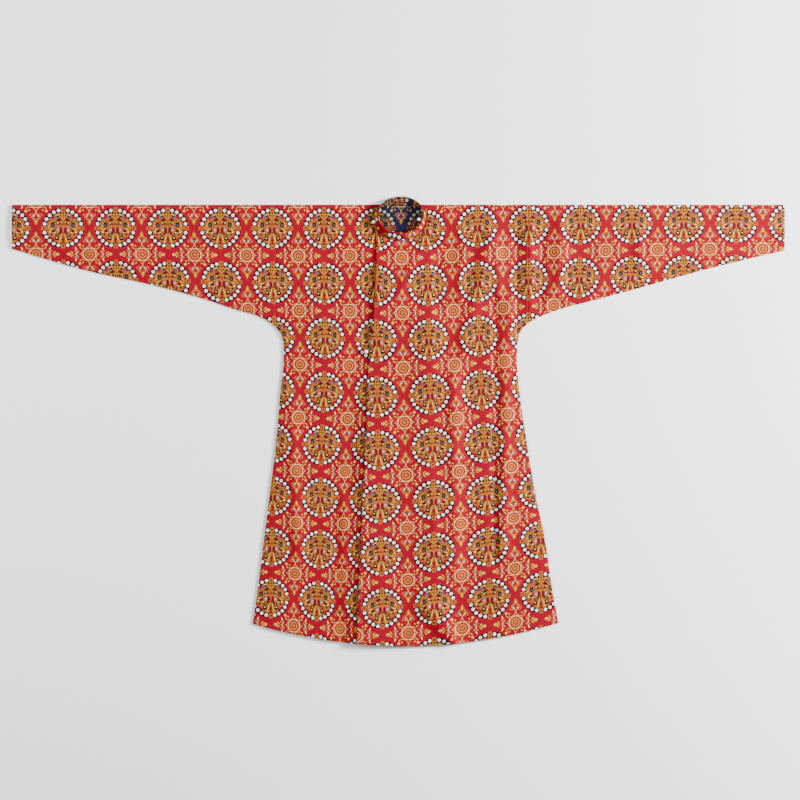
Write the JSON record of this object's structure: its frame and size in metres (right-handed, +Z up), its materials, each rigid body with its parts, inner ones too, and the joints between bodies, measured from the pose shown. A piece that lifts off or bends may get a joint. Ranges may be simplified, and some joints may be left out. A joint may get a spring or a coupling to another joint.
{
  "type": "round-collar hanfu robe laid flat",
  "caption": "Round-collar brocade robe with a crossing front, long tapering sleeves and pearl buttons, laid flat on its back with the sleeves spread.",
  "frame": {"origin": "middle of the laid-out robe's box, on the surface that it lies on", "axes": "+X along the spread sleeves towards the wearer's left cuff, +Y from the hem towards the neck, +Z up from the surface"},
  "size_m": [2, 1.1624, 0.0211],
  "materials": {
    "brocade": "red silk brocade with gold, cream and dark green figures, soft sheen; navy on its inner face",
    "collar_brocade": "the same red brocade, folded double into a band, navy on its inner face",
    "pearl": "glossy pearl"
  },
  "bodies": {
    "root": {"back": "brocade", "front_right": "brocade", "front_left": "brocade", "sleeve_right": "brocade", "sleeve_left": "brocade", "collar_outer": "collar_brocade", "collar_inner": "collar_brocade", "button_neck": "pearl", "button_waist": "pearl", "button_inner": "pearl"}
  },
  "joints": []
}
